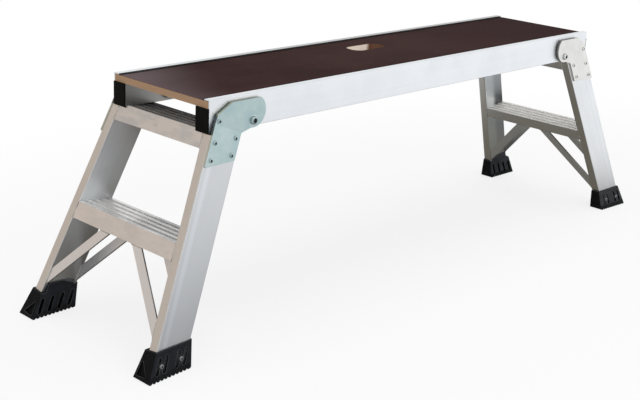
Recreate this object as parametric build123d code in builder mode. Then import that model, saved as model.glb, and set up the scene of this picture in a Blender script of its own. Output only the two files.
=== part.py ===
from build123d import *
import os
from math import atan2, cos, degrees, radians, sin, sqrt, tan

# Folding work trestle: a plywood deck in two aluminium rails, on two leg frames that fold under it.
# Millimetres, +Z up, X along the deck, Y across it, origin on the floor under the deck's middle.

# Deck
deck_length = 1350
deck_width = 300
deck_height = 514
board_thickness = 15
board_clearance = 0.3
hand_slot_length = 110
hand_slot_width = 50
hand_slot_corner = 20
hand_slot_setback = 50

# Side rails
rail_box_width = 38
rail_box_height = 50
rail_wall = 2.5
lip_width = 15
lip_thickness = 2.5
rail_edge_radius = 1

# End caps
cap_flange = 3
cap_plug_depth = 12
cap_plug_wall = 2
cap_clearance = 0.1
cap_edge_radius = 1.5

# Cross-bearers under the board
bearer_width = 40
bearer_height = 25
bearer_wall = 2.5
bearer_distance = 220
screw_spacing = 140
screw_radius = 2
screw_grip = 11
screw_head_radius = 4
screw_head_height = 2.5
screw_drive_radius = 1.4
screw_drive_depth = 1.2

# Leg frames, at the angles they take when the trestle stands open
lean = radians(23.5)
splay = radians(6.7)
leg_width = 80
leg_thickness = 23
leg_wall = 2
leg_edge_radius = 2
leg_top_gap = 0.3

# Hinge plates
hinge_gap = 3
plate_thickness = 5
plate_back_gap = 5
plate_bend_rise = 24
plate_drop = 60
plate_top = 58
plate_slope = radians(28.4)
plate_top_start = 53
plate_round_radius = 33.5
plate_round_rise = 32
plate_round_end = radians(100)
plate_neck_radius = 12
plate_corner_radius = 4

# Pivots
pivot_inset = 110
pivot_rise = 13.5
pivot_radius = 5
pivot_end_play = 0.2
pivot_head_radius = 8.75
pivot_head_height = 5.5
pivot_drive_radius = 4.4
pivot_drive_depth = 3
pivot_washer_radius = 12
pivot_sleeve_radius = 8
pivot_nut_width = 17
pivot_nut_height = 8
pivot_thread_end = 3

# Stop studs and rivets
stud_radius = 3.5
stud_edge = 8
stud_rise = 25
stud_head_radius = 5
stud_head_height = 2.4
stud_drive_radius = 1.6
stud_drive_depth = 1.2
stud_slot_clearance = 0.3
stud_slot_sweep = radians(30)
stud_reach = 1
rivet_radius = 2.4
rivet_head_radius = 5
rivet_head_height = 2.2
rivet_centre_radius = 2
rivet_centre_depth = 1.4
rivet_tail = 3
rivet_edge = 12
rivet_rows = (16, 48)
fastener_clearance = 0.05
head_dome = 0.7

# Treads
tread_tilt = radians(6)
tread_wall = 2.5
front_skirt = 36.5
rear_skirt = 30
groove_count = 4
groove_width = 9
groove_depth = 2.5
notch_width = 1.4
notch_depth = 0.8
notch_spread = 4.8
top_tread_rise = 5
lower_tread_height = 246
tread_rail_clearance = 1.5
tread_rail_gap = 0.6

# Braces
brace_width = 22
brace_thickness = 4
brace_angle = radians(47)
outer_brace_start = 52
inner_brace_start = 38
brace_overlap = 18

# Feet
foot_rim_height = 56
foot_tab_height = 70
foot_tab_margin = 8
foot_sole_thickness = 14
foot_clearance = 0.15
foot_outer_edge_margin = 4.5
foot_outer_edge_flare = radians(4)
foot_inner_edge_margin = 3
foot_inner_edge_flare = radians(14)
foot_outer_face_margin = 3
foot_outer_face_flare = radians(3.6)
foot_inner_face_margin = 4.5
foot_inner_face_flare = radians(10)
foot_corner_radius = 3
sole_toe_radius = 4
sole_heel_radius = 9
sole_groove_pitch = 10
sole_groove_width = 5.5
sole_groove_depth = 3
toe_recess_low = 8
toe_recess_high = 34
toe_recess_border = 6
toe_recess_top = 5
toe_recess_corner = 2
toe_recess_floor = 2.4
recess_width = 9
recess_offset = 8.5
inner_recess_count = 4
inner_recess_pitch = 23
recess_low = 12
recess_high = 45
recess_floor = 1.5
recess_inner_floor = 2.5
foot_bolt_edge = 16.5
foot_bolt_height = 26
foot_bolt_radius = 3
foot_bolt_seat = 3.2
foot_bolt_head_radius = 5.5
foot_bolt_head_height = 3.6
foot_bolt_drive_radius = 2
foot_bolt_drive_depth = 1.8
foot_bolt_end = 2
foot_boss_radius = 7
foot_nut_width = 10
foot_nut_height = 5

# Levels and half sizes
rail_height = rail_box_height + board_thickness + board_clearance + lip_thickness
rail_bottom = deck_height - rail_height
board_bottom = rail_bottom + rail_box_height
half_length = deck_length / 2
half_width = deck_width / 2
rail_inner = half_width - rail_box_width
plate_end = leg_width - plate_back_gap

# Left front leg: down its length, inward across its width, and into its thickness
across = Vector(0, 1, 0)
frame_down = Vector(-sin(lean), 0, -cos(lean))
inward = Vector(cos(lean), 0, -sin(lean))
leg_down = frame_down * cos(splay) - across * sin(splay)
leg_inside = across * cos(splay) + frame_down * sin(splay)
leg_drop = cos(lean) * cos(splay)

# The leg's outer corner, level with the rail's underside, is the origin of the leg's planes
leg_corner = Vector(
    -half_length,
    -half_width - hinge_gap - plate_bend_rise * sin(splay),
    rail_bottom,
)

# Leg's outer and inner wide faces: x across the leg, y down it, z into its thickness
# Leg's outer edge: x into its thickness, y down it, z away from the deck's middle
leg_face = Plane(origin=leg_corner, x_dir=inward, z_dir=leg_inside)
leg_inner_face = leg_face.offset(leg_thickness)
leg_edge = Plane(origin=leg_corner, x_dir=leg_inside, z_dir=-inward)
rear_leg_inner_face = Plane(
    origin=leg_inner_face.origin - across * (2 * leg_inner_face.origin.Y),
    x_dir=inward,
    z_dir=leg_inside - across * (2 * leg_inside.Y),
)

# Left frame's section, midway across the deck: x across the tread from its outer edge, y up the frame
frame_section = Plane(origin=(-half_length, 0, rail_bottom), x_dir=inward, z_dir=-across)

# Front rail from outside: x from the deck's left end, y above the rail's underside
rail_side = Plane(origin=(-half_length, -half_width, rail_bottom), x_dir=(1, 0, 0), z_dir=-across)
plate_side = rail_side.offset(hinge_gap)
pivot_spot = (pivot_inset, pivot_rise)
stud_spot = ((stud_edge + stud_rise * sin(lean)) / cos(lean), stud_rise)

# Where a mirror image of the left front corner goes
corners = {
    "left_front": (),
    "left_rear": (Plane.XZ,),
    "right_front": (Plane.YZ,),
    "right_rear": (Plane.XZ, Plane.YZ),
}
ends = {"left": (), "right": (Plane.YZ,)}
sides = {"front": (), "rear": (Plane.XZ,)}


def leg_spot(width, height):
    """Place on the leg's outer face, in its plane, at a width across the leg and a height off the floor."""
    return (width, (rail_bottom - height - width * sin(lean)) / leg_drop)


def leg_section(station):
    """Plane square to the leg at a distance down it: x across the leg, y into its thickness."""
    return Plane(origin=leg_corner + leg_down * station, x_dir=inward, z_dir=-leg_down)


def on_leg(spot, depth, direction):
    """Plane on the leg, at a depth into its thickness, facing a direction."""
    return Plane(origin=leg_face.offset(depth).from_local_coords(spot), x_dir=inward, z_dir=direction)


def placed(part, mirrors):
    """Mirror image of a finished piece, for another corner."""
    with BuildPart() as image:
        add(part)
        for about in mirrors:
            mirror(about=about, mode=Mode.REPLACE)
    return image


def write(piece, name):
    piece.part.label = name
    export_step(piece.part, f"parts/{name}.step")


def domed_fastener(head_radius, head_height, drive_radius, drive_depth, shank_radius, shank_length):
    """Fastener along Z, its head above the origin and its shank below."""
    with BuildPart() as fastener:
        Cylinder(head_radius, head_height, align=(Align.CENTER, Align.CENTER, Align.MIN))
        fillet(fastener.edges().group_by(Axis.Z)[-1], head_height * head_dome)
        Cylinder(shank_radius, shank_length, align=(Align.CENTER, Align.CENTER, Align.MAX))
        with Locations((0, 0, head_height)):
            Cylinder(
                drive_radius,
                drive_depth,
                align=(Align.CENTER, Align.CENTER, Align.MAX),
                mode=Mode.SUBTRACT,
            )
    return fastener.part


def hex_nut(width, height, bore_radius):
    """Nut standing on the origin."""
    with BuildPart() as nut:
        with BuildSketch():
            RegularPolygon(width / 2, 6, major_radius=False)
            Circle(bore_radius, mode=Mode.SUBTRACT)
        extrude(amount=height)
    return nut.part


os.makedirs("parts", exist_ok=True)

# Side rails: a box under the board's edge, with its outer wall carried up and over as a lip
rail_profile = Plane(origin=(-half_length, -half_width, rail_bottom), x_dir=(0, 1, 0), z_dir=(1, 0, 0))
lip_bottom = rail_height - lip_thickness
with BuildPart() as front_rail:
    with BuildSketch(rail_profile) as rail_outline:
        with BuildLine():
            Polyline(
                (0, 0),
                (rail_box_width, 0),
                (rail_box_width, rail_box_height),
                (rail_wall, rail_box_height),
                (rail_wall, lip_bottom),
                (lip_width, lip_bottom),
                (lip_width, rail_height),
                (0, rail_height),
                close=True,
            )
        make_face()
        outer_corners = [(0, 0), (rail_box_width, 0), (lip_width, rail_height), (0, rail_height)]
        for corner in outer_corners:
            fillet(rail_outline.vertices().sort_by_distance(corner)[0], rail_edge_radius)
        with Locations((rail_wall, rail_wall)):
            Rectangle(
                rail_box_width - 2 * rail_wall,
                rail_box_height - 2 * rail_wall,
                align=(Align.MIN, Align.MIN),
                mode=Mode.SUBTRACT,
            )
    extrude(amount=deck_length)
    # Pivot holes through both walls of the box, near each end
    with BuildSketch(rail_side):
        with Locations(pivot_spot, (deck_length - pivot_inset, pivot_rise)):
            Circle(pivot_radius + fastener_clearance)
    extrude(amount=-rail_box_width, mode=Mode.SUBTRACT)
    # Curved slots in the outer wall, which the stop studs swing up into
    stud_swing = Vector(*stud_spot) - Vector(*pivot_spot)
    stud_bearing = degrees(atan2(stud_swing.Y, stud_swing.X))
    for about in ends.values():
        with BuildSketch(rail_side):
            with BuildLine(mode=Mode.PRIVATE):
                swing = CenterArc(pivot_spot, stud_swing.length, stud_bearing, degrees(stud_slot_sweep))
            SlotArc(swing, 2 * (stud_radius + stud_slot_clearance))
            if about:
                mirror(about=Plane.YZ.offset(half_length), mode=Mode.REPLACE)
        extrude(amount=-2 * rail_wall, mode=Mode.SUBTRACT)
write(front_rail, "front_rail")
write(placed(front_rail.part, sides["rear"]), "rear_rail")

# Plywood deck board, between the rails' outer walls and under their lips
board_width = deck_width - 2 * (rail_wall + board_clearance)
bearer_screws = [
    (end * bearer_distance, side * screw_spacing / 2) for end in (-1, 1) for side in (-1, 1)
]
with BuildPart() as deck_board:
    with BuildSketch(Plane.XY.offset(board_bottom)):
        Rectangle(deck_length, board_width)
        with Locations((0, hand_slot_setback)):
            RectangleRounded(hand_slot_length, hand_slot_width, hand_slot_corner, mode=Mode.SUBTRACT)
    extrude(amount=board_thickness)
    with BuildSketch(Plane.XY.offset(board_bottom)):
        with Locations(*bearer_screws):
            Circle(screw_radius + fastener_clearance)
    extrude(amount=screw_grip, mode=Mode.SUBTRACT)
write(deck_board, "deck_board")

# Cross-bearers: channels open downwards, between the rails' inner walls
bearer_section = Plane(origin=(-bearer_distance, -rail_inner, board_bottom), x_dir=(1, 0, 0), z_dir=-across)
with BuildPart() as left_bearer:
    with BuildSketch(bearer_section):
        Rectangle(bearer_width, bearer_height, align=(Align.CENTER, Align.MAX))
        with Locations((0, -bearer_wall)):
            Rectangle(
                bearer_width - 2 * bearer_wall,
                bearer_height,
                align=(Align.CENTER, Align.MAX),
                mode=Mode.SUBTRACT,
            )
    extrude(amount=-2 * rail_inner)
    with BuildSketch(Plane.XY.offset(board_bottom)):
        with Locations(*bearer_screws):
            Circle(screw_radius + fastener_clearance)
    extrude(amount=-bearer_wall, mode=Mode.SUBTRACT)
for end, mirrors in ends.items():
    write(placed(left_bearer.part, mirrors), f"{end}_bearer")

# Screws up through the bearers into the board
deck_screw = domed_fastener(
    screw_head_radius,
    screw_head_height,
    screw_drive_radius,
    screw_drive_depth,
    screw_radius,
    bearer_wall + screw_grip,
)
screw_seat = board_bottom - bearer_wall
with BuildPart() as deck_screws:
    with Locations(*[Plane(origin=(x, y, screw_seat), z_dir=(0, 0, -1)) for x, y in bearer_screws]):
        add(deck_screw)
write(deck_screws, "deck_screws")

# End caps: a flange over each end of the rail's box and a hollow plug inside it
cap_plane = Plane(
    origin=(-half_length, rail_box_width / 2 - half_width, rail_bottom + rail_box_height / 2),
    x_dir=(0, 1, 0),
    z_dir=(-1, 0, 0),
)
plug_width = rail_box_width - 2 * (rail_wall + cap_clearance)
plug_height = rail_box_height - 2 * (rail_wall + cap_clearance)
with BuildPart() as end_cap:
    with BuildSketch(cap_plane):
        Rectangle(rail_box_width, rail_box_height)
    extrude(amount=cap_flange)
    fillet(end_cap.faces().sort_by(Axis.X)[0].edges(), cap_edge_radius)
    with BuildSketch(cap_plane):
        Rectangle(plug_width, plug_height)
        Rectangle(plug_width - 2 * cap_plug_wall, plug_height - 2 * cap_plug_wall, mode=Mode.SUBTRACT)
    extrude(amount=-cap_plug_depth)
for corner, mirrors in corners.items():
    write(placed(end_cap.part, mirrors), f"{corner}_end_cap")

# Legs: flat tubes cut level at the rail's underside and at the foot's sole
rivet_spots = [
    leg_spot(width, rail_bottom - row) for row in rivet_rows for width in (rivet_edge, plate_end - rivet_edge)
]
foot_bolt_spots = [
    leg_spot(width, foot_bolt_height) for width in (foot_bolt_edge, leg_width - foot_bolt_edge)
]
with BuildPart() as front_leg:
    with BuildSketch(leg_section(-leg_width)) as leg_outline:
        Rectangle(leg_width, leg_thickness, align=(Align.MIN, Align.MIN))
        fillet(leg_outline.vertices(), leg_edge_radius)
        with Locations((leg_wall, leg_wall)):
            Rectangle(
                leg_width - 2 * leg_wall,
                leg_thickness - 2 * leg_wall,
                align=(Align.MIN, Align.MIN),
                mode=Mode.SUBTRACT,
            )
    extrude(amount=-rail_bottom / leg_drop - 2 * leg_width)
    split(bisect_by=Plane.XY.offset(rail_bottom - leg_top_gap), keep=Keep.BOTTOM)
    split(bisect_by=Plane.XY.offset(foot_sole_thickness), keep=Keep.TOP)
    # Holes through the outer wall only
    with BuildSketch(leg_face):
        with Locations(*rivet_spots):
            Circle(rivet_radius + fastener_clearance)
        with Locations(*foot_bolt_spots):
            Circle(foot_bolt_radius + fastener_clearance)
    extrude(amount=2 * leg_wall, mode=Mode.SUBTRACT)
for corner, mirrors in corners.items():
    write(placed(front_leg.part, mirrors), f"{corner}_leg")


def bend_spot(width):
    """Place on the hinge plate's bend line, seen from the rail's side, at a width across the leg."""
    bend = plate_bend_rise * cos(splay)
    return (width * cos(lean) + bend * sin(lean), bend * cos(lean) - width * sin(lean))


# Hinge plates: upright beside the rail, then bent to follow the splayed leg
shoulder_rise = (plate_top - plate_top_start * tan(plate_slope)) / (1 - tan(lean) * tan(plate_slope))
round_reach = sqrt(plate_round_radius**2 - (plate_top - plate_round_rise) ** 2)
top_end = (pivot_inset + round_reach, plate_top)
round_side = (pivot_inset + plate_round_radius, plate_round_rise)
neck = (
    pivot_inset + plate_round_radius * cos(plate_round_end),
    plate_round_rise - plate_round_radius * sin(plate_round_end),
)
with BuildPart() as front_hinge_plate:
    with BuildSketch(plate_side) as plate_outline:
        with BuildLine():
            Polyline(
                neck,
                bend_spot(plate_end),
                bend_spot(0),
                (shoulder_rise * tan(lean), shoulder_rise),
                (plate_top_start, plate_top),
                top_end,
            )
            ThreePointArc(top_end, round_side, neck)
        make_face()
        fillet(plate_outline.vertices().sort_by_distance(neck)[0], plate_neck_radius)
        with Locations(pivot_spot):
            Circle(pivot_radius + fastener_clearance, mode=Mode.SUBTRACT)
        with Locations(stud_spot):
            Circle(stud_radius + fastener_clearance, mode=Mode.SUBTRACT)
    extrude(amount=plate_thickness)
    with BuildSketch(leg_face) as tail_outline:
        lower_corners = [leg_spot(width, rail_bottom - plate_drop) for width in (0, plate_end)]
        with BuildLine():
            Polyline(
                (plate_end, -plate_bend_rise),
                (0, -plate_bend_rise),
                *lower_corners,
                close=True,
            )
        make_face()
        for corner in lower_corners:
            fillet(tail_outline.vertices().sort_by_distance(corner)[0], plate_corner_radius)
        with Locations(*rivet_spots):
            Circle(rivet_radius + fastener_clearance, mode=Mode.SUBTRACT)
    extrude(amount=-plate_thickness)
for corner, mirrors in corners.items():
    write(placed(front_hinge_plate.part, mirrors), f"{corner}_hinge_plate")

# Rivets through the hinge plates and the legs' outer walls
rivet = domed_fastener(
    rivet_head_radius,
    rivet_head_height,
    rivet_centre_radius,
    rivet_centre_depth,
    rivet_radius,
    plate_thickness + leg_wall + rivet_tail,
)
with BuildPart() as hinge_rivets:
    with Locations(*[on_leg(spot, -plate_thickness, -leg_inside) for spot in rivet_spots]):
        add(rivet)
    mirror(about=Plane.XZ)
for end, mirrors in ends.items():
    write(placed(hinge_rivets.part, mirrors), f"{end}_hinge_rivets")

# Stop studs: through the hinge plates and into the rails' slots
stop_stud = domed_fastener(
    stud_head_radius,
    stud_head_height,
    stud_drive_radius,
    stud_drive_depth,
    stud_radius,
    plate_thickness + hinge_gap + rail_wall + stud_reach,
)
stud_plane = plate_side.offset(plate_thickness)
with BuildPart() as stop_studs:
    with Locations(Plane(origin=stud_plane.from_local_coords(stud_spot), z_dir=-across)):
        add(stop_stud)
    mirror(about=Plane.XZ)
for end, mirrors in ends.items():
    write(placed(stop_studs.part, mirrors), f"{end}_stop_studs")

# Pivot bolts, with a washer in the hinge gap, a sleeve in the rail and a nut inside
bolt_seat = hinge_gap + plate_thickness + pivot_end_play
pivot_bolt = domed_fastener(
    pivot_head_radius,
    pivot_head_height,
    pivot_drive_radius,
    pivot_drive_depth,
    pivot_radius,
    bolt_seat + rail_box_width + pivot_nut_height + pivot_thread_end,
)
with BuildPart() as pivot_bolts:
    with Locations(Plane(origin=rail_side.offset(bolt_seat).from_local_coords(pivot_spot), z_dir=-across)):
        add(pivot_bolt)
    mirror(about=Plane.XZ)
    mirror(about=Plane.YZ)
write(pivot_bolts, "pivot_bolts")

with BuildPart() as pivot_washers:
    with BuildSketch(rail_side):
        with Locations(pivot_spot):
            Circle(pivot_washer_radius)
            Circle(pivot_radius + fastener_clearance, mode=Mode.SUBTRACT)
    extrude(amount=hinge_gap - pivot_end_play)
    mirror(about=Plane.XZ)
    mirror(about=Plane.YZ)
write(pivot_washers, "pivot_washers")

with BuildPart() as pivot_sleeves:
    with BuildSketch(rail_side.offset(-rail_wall)):
        with Locations(pivot_spot):
            Circle(pivot_sleeve_radius)
            Circle(pivot_radius + fastener_clearance, mode=Mode.SUBTRACT)
    extrude(amount=2 * rail_wall - rail_box_width)
    mirror(about=Plane.XZ)
    mirror(about=Plane.YZ)
write(pivot_sleeves, "pivot_sleeves")

pivot_nut = hex_nut(pivot_nut_width, pivot_nut_height, pivot_radius + fastener_clearance)
nut_seat = rail_side.offset(-rail_box_width).from_local_coords(pivot_spot)
with BuildPart() as pivot_nuts:
    with Locations(Plane(origin=nut_seat, z_dir=across)):
        add(pivot_nut)
    mirror(about=Plane.XZ)
    mirror(about=Plane.YZ)
write(pivot_nuts, "pivot_nuts")

# Treads: a grooved top between two skirts, level with the legs' edges and welded between the legs
tread_rake = tan(lean - tread_tilt)
tread_depth = leg_width / cos(lean - tread_tilt)
groove_pitch = (tread_depth + groove_width) / (groove_count + 1)
ridge_width = groove_pitch - groove_width


def tread(rise):
    """Tread whose outer top edge lies a rise above the rail's underside."""
    front_top = rise / cos(lean)
    rear_top = front_top + leg_width * tread_rake
    under = (groove_depth + tread_wall) / cos(lean - tread_tilt)
    tread_top = Plane(
        origin=frame_section.from_local_coords((0, front_top)),
        x_dir=(cos(tread_tilt), 0, -sin(tread_tilt)),
        z_dir=-across,
    )
    with BuildPart() as piece:
        with BuildSketch(frame_section):
            with BuildLine():
                Polyline(
                    (0, front_top),
                    (leg_width, rear_top),
                    (leg_width, rear_top - rear_skirt),
                    (leg_width - tread_wall, rear_top - rear_skirt),
                    (leg_width - tread_wall, rear_top - tread_wall * tread_rake - under),
                    (tread_wall, front_top + tread_wall * tread_rake - under),
                    (tread_wall, front_top - front_skirt),
                    (0, front_top - front_skirt),
                    close=True,
                )
            make_face()
        extrude(amount=deck_width, both=True)
        # Wide grooves between the ridges, and two fine notches along each ridge
        with BuildSketch(tread_top):
            for groove in range(groove_count):
                with Locations((ridge_width + groove * groove_pitch, 0)):
                    Rectangle(groove_width, groove_depth, align=(Align.MIN, Align.MAX))
            for ridge in range(groove_count + 1):
                for notch in (-notch_spread / 2, notch_spread / 2):
                    with Locations((ridge_width / 2 + ridge * groove_pitch + notch, 0)):
                        Rectangle(notch_width, notch_depth, align=(Align.CENTER, Align.MAX))
        extrude(amount=deck_width, both=True, mode=Mode.SUBTRACT)
        split(bisect_by=leg_inner_face, keep=Keep.TOP)
        split(bisect_by=rear_leg_inner_face, keep=Keep.TOP)
    return piece


lower_tread = tread(lower_tread_height - rail_bottom)
for end, mirrors in ends.items():
    write(placed(lower_tread.part, mirrors), f"{end}_lower_tread")

# The top tread comes up between the rails, so its ends are notched round them
whole_top_tread = tread(top_tread_rise)
notch_inner = rail_inner - tread_rail_clearance
with BuildPart() as top_tread:
    add(whole_top_tread.part)
    with BuildSketch(Plane.XY.offset(rail_bottom - tread_rail_gap)):
        for side in (-1, 1):
            with Locations((-half_length, side * (notch_inner + deck_width / 2))):
                Rectangle(deck_length, deck_width)
    extrude(amount=rail_box_height, mode=Mode.SUBTRACT)
for end, mirrors in ends.items():
    write(placed(top_tread.part, mirrors), f"{end}_top_tread")


def brace(depth, skirt_bottom, start):
    """Flat bar at a depth across the leg, from a skirt's bottom edge slanting down to the front leg."""
    brace_plane = Plane(
        origin=frame_section.from_local_coords((depth, 0)),
        x_dir=across,
        z_dir=inward,
    )
    half_level = brace_width / 2 / sin(brace_angle)

    def middle(level):
        return (level - skirt_bottom) / tan(brace_angle) - start

    top = skirt_bottom + brace_overlap
    bottom = skirt_bottom - deck_width
    with BuildPart() as bar:
        with BuildSketch(brace_plane):
            with BuildLine():
                Polyline(
                    (middle(top) - half_level, top),
                    (middle(top) + half_level, top),
                    (middle(bottom) + half_level, bottom),
                    (middle(bottom) - half_level, bottom),
                    close=True,
                )
            make_face()
        extrude(amount=brace_thickness)
        split(bisect_by=leg_inner_face, keep=Keep.TOP)
    return bar


# Braces: two flat bars at each leg, one behind each skirt of the lower tread
lower_front_top = (lower_tread_height - rail_bottom) / cos(lean)
lower_rear_top = lower_front_top + leg_width * tread_rake
front_outer_brace = brace(tread_wall, lower_front_top - front_skirt, outer_brace_start)
front_inner_brace = brace(
    leg_width - tread_wall - brace_thickness,
    lower_rear_top - rear_skirt,
    inner_brace_start,
)
for corner, mirrors in corners.items():
    write(placed(front_outer_brace.part, mirrors), f"{corner}_outer_brace")
    write(placed(front_inner_brace.part, mirrors), f"{corner}_inner_brace")

# Feet: flared boots over the legs' ends, cut level at the sole and the rim
outer_rim, rim, inner_rim = [
    leg_spot(width, foot_rim_height)[1] for width in (0, leg_width / 2, leg_width)
]
foot_start = rim - leg_width
foot_end = leg_spot(leg_width / 2, 0)[1] + leg_width


def foot_outline(station):
    """Foot's corners in a section square to the leg: edges across the leg, faces through its thickness."""
    outer_edge = -foot_outer_edge_margin - (station - outer_rim) * tan(foot_outer_edge_flare)
    inner_edge = leg_width + foot_inner_edge_margin + (station - inner_rim) * tan(foot_inner_edge_flare)
    outer_face = -foot_outer_face_margin - (station - rim) * tan(foot_outer_face_flare)
    inner_face = leg_thickness + foot_inner_face_margin + (station - rim) * tan(foot_inner_face_flare)
    return outer_edge, inner_edge, outer_face, inner_face


def end_spot(edge, height):
    """Where the foot's outer or inner end, 0 or 1, has a height, seen from the deck's side."""
    start = foot_outline(0)[edge]
    flare = foot_outline(1)[edge] - start
    level = leg_spot(0, height)[1]
    slope = level - leg_spot(1, height)[1]
    width = (start + flare * level) / (1 + flare * slope)
    return Vector(leg_face.from_local_coords(leg_spot(width, height)).X, height)


with BuildPart() as leg_socket:
    with BuildSketch(leg_section(foot_start)):
        with Locations((-foot_clearance, -foot_clearance)):
            Rectangle(
                leg_width + 2 * foot_clearance,
                leg_thickness + 2 * foot_clearance,
                align=(Align.MIN, Align.MIN),
            )
    extrude(amount=foot_start - foot_end)
    split(bisect_by=Plane.XY.offset(foot_sole_thickness), keep=Keep.TOP)

outer_recesses = [
    bolt + side * recess_offset
    for bolt in (foot_bolt_edge, leg_width - foot_bolt_edge)
    for side in (-1, 1)
]
inner_recesses = [
    leg_width / 2 + (recess - (inner_recess_count - 1) / 2) * inner_recess_pitch
    for recess in range(inner_recess_count)
]
recess_middle = (recess_low + recess_high) / 2
recess_length = (recess_high - recess_low) / leg_drop

with BuildPart() as front_foot:
    for station in (foot_start, foot_end):
        outer_edge, inner_edge, outer_face, inner_face = foot_outline(station)
        with BuildSketch(leg_section(station)):
            with Locations((outer_edge, outer_face)):
                Rectangle(
                    inner_edge - outer_edge,
                    inner_face - outer_face,
                    align=(Align.MIN, Align.MIN),
                )
    loft()
    end_faces = front_foot.faces().filter_by(leg_section(foot_start))
    fillet(front_foot.edges() - end_faces.edges(), foot_corner_radius)
    split(bisect_by=Plane.XY, keep=Keep.TOP)
    split(bisect_by=Plane.XY.offset(foot_tab_height), keep=Keep.BOTTOM)
    # The sole's toe and heel are rounded up, past the slightly turned end faces
    for end, radius, way in ((0, sole_toe_radius, 1), (1, sole_heel_radius, -1)):
        corner = end_spot(end, 0)
        along = Vector(way, 0)
        up = (end_spot(end, foot_rim_height) - corner).normalized()
        reach = radius / tan(radians(along.get_angle(up)) / 2)
        with BuildSketch(Plane.XZ):
            with BuildLine():
                run_out = corner + up * reach - along * radius / 5
                rounding = TangentArc(corner + along * reach, run_out, tangent=-along)
                Polyline(rounding @ 1, corner - up - along, rounding @ 0)
            make_face()
        extrude(amount=deck_width, mode=Mode.SUBTRACT)
    # Above the rim only a tab is left, on the leg's inner face
    above_rim = leg_width + foot_tab_height
    with BuildSketch(leg_face):
        with BuildLine():
            Polyline(
                leg_spot(-leg_width, foot_rim_height),
                leg_spot(2 * leg_width, foot_rim_height),
                leg_spot(2 * leg_width, above_rim),
                leg_spot(-leg_width, above_rim),
                close=True,
            )
        make_face()
    extrude(amount=leg_thickness, both=True, mode=Mode.SUBTRACT)
    with BuildSketch(leg_face):
        for near, far in ((-leg_width, foot_tab_margin), (leg_width - foot_tab_margin, 2 * leg_width)):
            with BuildLine():
                Polyline(
                    leg_spot(near, foot_rim_height),
                    leg_spot(far, foot_rim_height),
                    leg_spot(far, above_rim),
                    leg_spot(near, above_rim),
                    close=True,
                )
            make_face()
    extrude(amount=2 * leg_thickness, mode=Mode.SUBTRACT)
    add(leg_socket.part, mode=Mode.SUBTRACT)
    # Recesses in the wide faces, on the outside clear of the bolts' bosses
    for face, floor, way, columns, bosses in (
        (leg_face, -recess_floor, -1, outer_recesses, foot_bolt_spots),
        (leg_inner_face, recess_inner_floor, 1, inner_recesses, []),
    ):
        with BuildSketch(face.offset(floor)):
            with Locations(*[leg_spot(column, recess_middle) for column in columns]):
                SlotOverall(recess_length, recess_width, rotation=90)
            for boss in bosses:
                with Locations(boss):
                    Circle(foot_boss_radius, mode=Mode.SUBTRACT)
        extrude(amount=way * leg_thickness, mode=Mode.SUBTRACT)
    # Hollow in the outer end, widening down to the toe
    with BuildSketch(leg_edge.offset(toe_recess_floor)) as toe_recess:
        top, bottom = [leg_spot(0, height)[1] for height in (toe_recess_high, toe_recess_low)]
        top_inner, bottom_inner = [
            foot_outline(station)[3] - toe_recess_border for station in (top, bottom)
        ]
        bottom_outer = foot_outline(bottom)[2] + 2 * toe_recess_border
        with BuildLine():
            Polyline(
                (top_inner - toe_recess_top, top),
                (top_inner, top),
                (bottom_inner, bottom),
                (bottom_outer, bottom),
                close=True,
            )
        make_face()
        fillet(toe_recess.vertices(), toe_recess_corner)
    extrude(amount=leg_width, mode=Mode.SUBTRACT)
    # Flat seats for the bolts' heads, and the bolts' holes
    for seat, radius in ((foot_bolt_seat, foot_boss_radius), (0, foot_bolt_radius + fastener_clearance)):
        with BuildSketch(leg_face.offset(-seat)):
            with Locations(*foot_bolt_spots):
                Circle(radius)
        extrude(amount=-leg_thickness, mode=Mode.SUBTRACT)
    # Grooves across the sole, centred along it
    sole = front_foot.faces().sort_by(Axis.Z)[0].bounding_box()
    sole_groove_count = int(sole.size.X / sole_groove_pitch)
    first_groove = sole.center().X - (sole_groove_count - 1) / 2 * sole_groove_pitch
    with BuildSketch(Plane.XZ):
        for groove in range(sole_groove_count):
            middle = first_groove + groove * sole_groove_pitch
            with BuildLine():
                Polyline(
                    (middle - sole_groove_width / 2, 0),
                    (middle + sole_groove_width / 2, 0),
                    (middle, sole_groove_depth),
                    close=True,
                )
            make_face()
    extrude(amount=deck_width, mode=Mode.SUBTRACT)
for corner, mirrors in corners.items():
    write(placed(front_foot.part, mirrors), f"{corner}_foot")

# Bolts that hold the feet on the legs, in nuts welded inside the legs' open ends
foot_bolt = domed_fastener(
    foot_bolt_head_radius,
    foot_bolt_head_height,
    foot_bolt_drive_radius,
    foot_bolt_drive_depth,
    foot_bolt_radius,
    foot_bolt_seat + leg_wall + foot_nut_height + foot_bolt_end,
)
with BuildPart() as foot_bolts:
    with Locations(*[on_leg(spot, -foot_bolt_seat, -leg_inside) for spot in foot_bolt_spots]):
        add(foot_bolt)
    mirror(about=Plane.XZ)
foot_nut = hex_nut(foot_nut_width, foot_nut_height, foot_bolt_radius + fastener_clearance)
with BuildPart() as foot_nuts:
    with Locations(*[on_leg(spot, leg_wall, leg_inside) for spot in foot_bolt_spots]):
        add(foot_nut)
    mirror(about=Plane.XZ)
for end, mirrors in ends.items():
    write(placed(foot_bolts.part, mirrors), f"{end}_foot_bolts")
    write(placed(foot_nuts.part, mirrors), f"{end}_foot_nuts")
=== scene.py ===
from math import cos, pi, radians, sin, tan

import bmesh
import bpy
from mathutils import Euler, Matrix, Vector


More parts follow.
